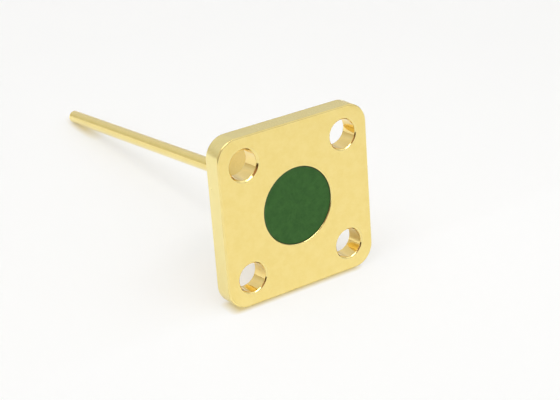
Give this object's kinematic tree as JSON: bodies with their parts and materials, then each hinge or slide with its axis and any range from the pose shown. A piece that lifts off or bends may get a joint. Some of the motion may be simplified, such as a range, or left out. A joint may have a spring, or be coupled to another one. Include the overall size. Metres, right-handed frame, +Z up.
{
  "type": "hermetic flange connector",
  "caption": "Gold-plated square flange with corner screw holes, green sealing glass flush in its face and a long round pin out of the rear hub.",
  "frame": {"origin": "middle of the footprint, on the level surface that the connector lies on: the rear bottom edge of the flange and the tip of the pin touch z = 0", "axes": "+Y along the connector from the flange towards the tip of the pin, +X across the flange, +Z up. The flange leans back by 7 degrees, so the front face with the glass disc looks to -Y and a little up"},
  "size_m": [0.0126, 0.0348, 0.0128],
  "materials": {
    "flange_plating": "gold plated, satin",
    "sealing_glass": "opaque dark green, smooth",
    "pin_plating": "gold plated, bright drawn"
  },
  "bodies": {
    "root": {"flange_body": "flange_plating", "glass_seal": "sealing_glass", "contact_pin": "pin_plating"}
  },
  "joints": []
}
